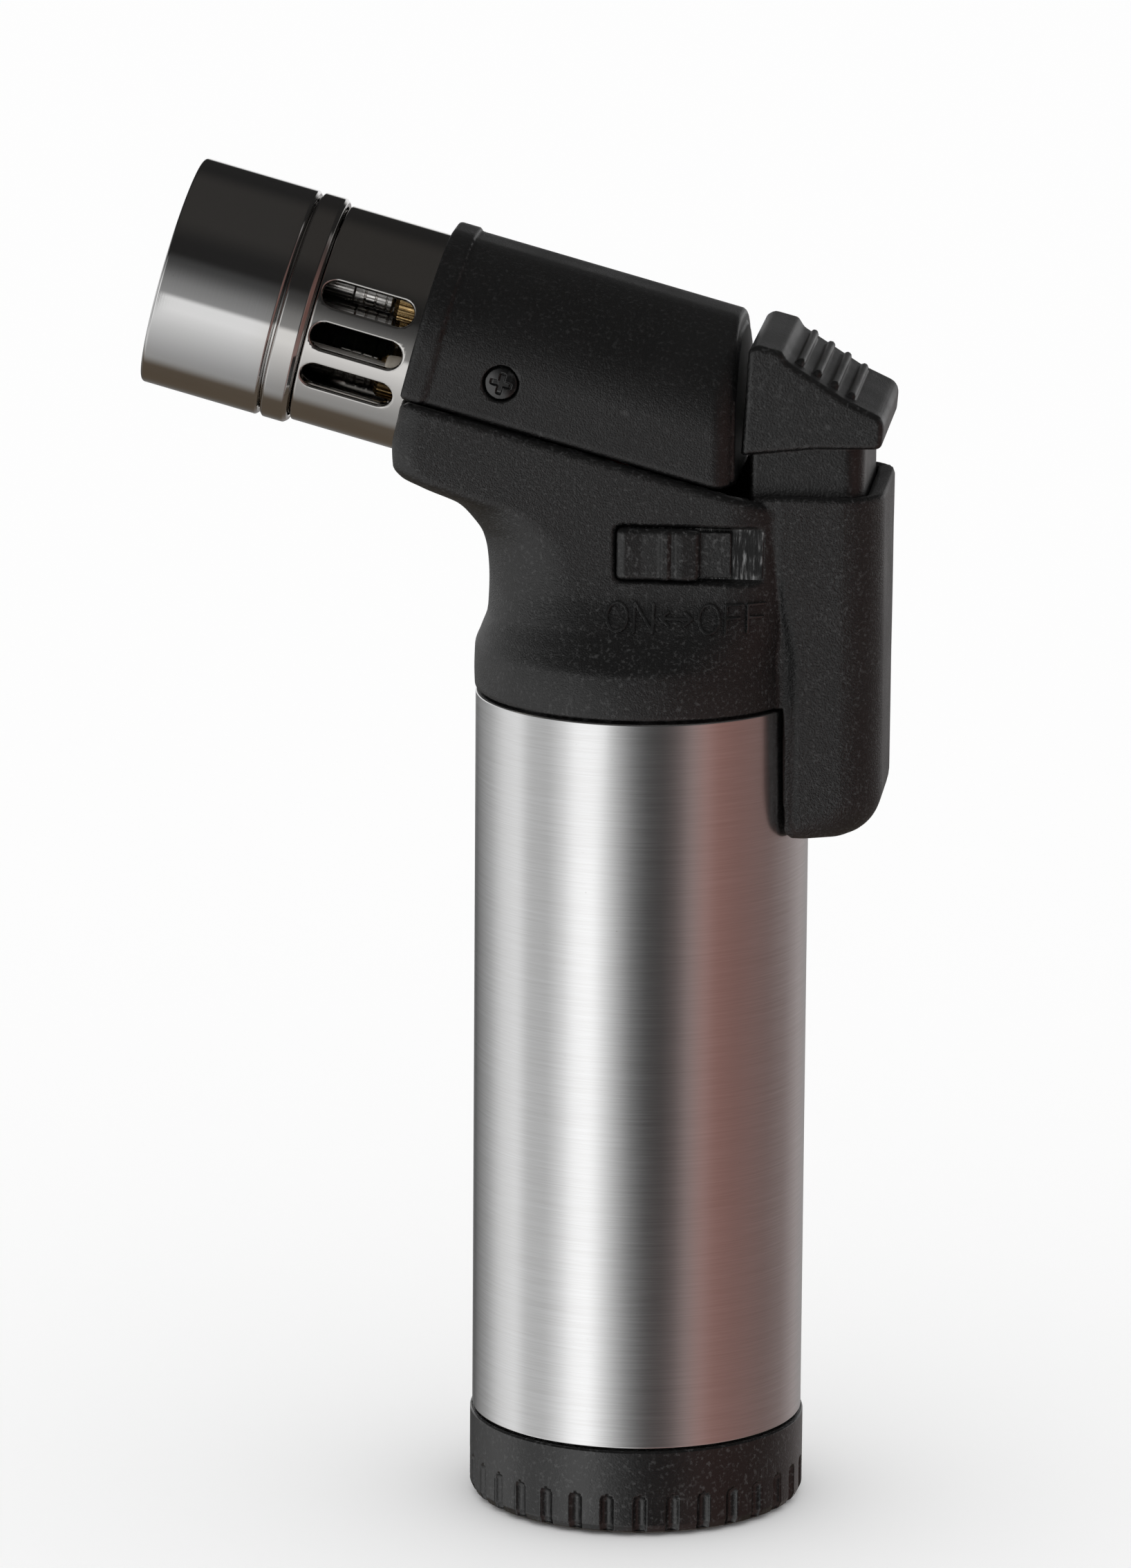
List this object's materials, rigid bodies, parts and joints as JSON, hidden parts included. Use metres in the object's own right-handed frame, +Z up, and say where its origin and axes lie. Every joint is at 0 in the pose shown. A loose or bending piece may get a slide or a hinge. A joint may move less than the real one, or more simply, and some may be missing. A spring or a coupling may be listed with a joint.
{
  "type": "butane torch",
  "caption": "Hand-held butane torch with a brushed tank, flame-adjusting base dial, thumb igniter button, side lock slide and an upward-tilted metal nozzle.",
  "frame": {"origin": "centre of the whole torch's footprint box, on the surface that it stands on; the tank axis is 14.37 mm along +X from it", "axes": "+Z up along the tank, the nozzle points along -X and 15 degrees up, the lock slide is on the -Y side"},
  "size_m": [0.0854, 0.0384, 0.1544],
  "materials": {
    "black_plastic": "fine-grained moulded plastic",
    "gloss_plastic": "glossy black",
    "carrier_plastic": "plain moulded plastic",
    "tank_plastic": "translucent white moulded plastic, shown opaque",
    "brushed_aluminium": "lines brushed round the tube",
    "dark_chrome": "darkened chrome with heat tint",
    "steel": "bright drawn",
    "brass": "turned",
    "ceramic": "fired ceramic, off white",
    "rubber": "moulded seal",
    "wire_sheath": "lead insulation"
  },
  "bodies": {
    "body": {"base_plate": "black_plastic", "base_screw_1": "steel", "base_screw_2": "steel", "base_screw_3": "steel", "regulator_body": "brass", "fill_valve_body": "brass", "fill_valve_spring": "steel", "fill_valve_washer": "rubber", "fuel_tank": "tank_plastic", "tank_sleeve": "brushed_aluminium", "feed_tube": "tank_plastic", "gas_valve_body": "brass", "gas_valve_spring": "steel", "gas_valve_washer": "rubber", "gas_valve_nut": "brass", "gas_tube": "steel", "lever_pin": "steel", "neck_housing": "black_plastic", "head_cover": "black_plastic", "cover_screw_left": "gloss_plastic", "cover_screw_right": "gloss_plastic", "piezo_body": "carrier_plastic", "piezo_spring": "steel", "ignition_wire": "wire_sheath", "burner_mount": "carrier_plastic", "vent_sleeve": "dark_chrome", "shroud_ring": "dark_chrome", "flame_shroud": "dark_chrome", "flame_plate": "steel", "jet_nut_1": "brass", "jet_tube_1": "steel", "jet_nut_2": "brass", "jet_tube_2": "steel", "jet_nut_3": "brass", "jet_tube_3": "steel", "electrode_insulator": "ceramic", "electrode_wire": "steel"},
    "dial": {"base_dial": "black_plastic"},
    "regulator": {"regulator_gear": "carrier_plastic"},
    "button": {"ignition_button": "black_plastic", "piezo_plunger": "tank_plastic"},
    "lever": {"valve_lever": "steel"},
    "gas_stem": {"gas_valve_stem": "brass"},
    "lock": {"lock_slide": "black_plastic"},
    "fill_stem": {"fill_valve_stem": "brass"}
  },
  "joints": [
    {"name": "dial_turn", "type": "hinge", "parent": "body", "child": "dial", "pos_m": [0.01437, 0, 0.005], "axis": [0, 0, 1], "range_deg": [-60, 60]},
    {"name": "regulator_turn", "type": "hinge", "parent": "body", "child": "regulator", "pos_m": [0.02397, 0, 0.005], "axis": [0, 0, 1], "range_deg": [-180, 180]},
    {"name": "button_press", "type": "slide", "parent": "body", "child": "button", "axis": [0, 0, -1], "range_m": [0, 0.0042], "stiffness_N_per_m": 3000, "springref_m": -0.002, "deforming": ["piezo_spring"]},
    {"name": "lever_tilt", "type": "hinge", "parent": "body", "child": "lever", "pos_m": [0.01777, 0, 0.1032], "axis": [0, 1, 0], "range_deg": [0, 20.6]},
    {"name": "gas_stem_lift", "type": "slide", "parent": "body", "child": "gas_stem", "axis": [0, 0, 1], "range_m": [0, 0.00125], "deforming": ["gas_valve_spring"]},
    {"name": "lock_slide_travel", "type": "slide", "parent": "body", "child": "lock", "axis": [-1, 0, 0], "range_m": [-0.0036, 0]},
    {"name": "fill_press", "type": "slide", "parent": "body", "child": "fill_stem", "axis": [0, 0, 1], "range_m": [0, 0.0015], "stiffness_N_per_m": 1500, "springref_m": -0.001, "deforming": ["fill_valve_spring"]}
  ],
  "couplings": [
    {"joint": "regulator_turn", "follows": "dial_turn", "ratio": 3},
    {"joint": "lever_tilt", "follows": "button_press", "rad_per_m": 85.6},
    {"joint": "gas_stem_lift", "follows": "button_press", "ratio": 0.2976}
  ]
}
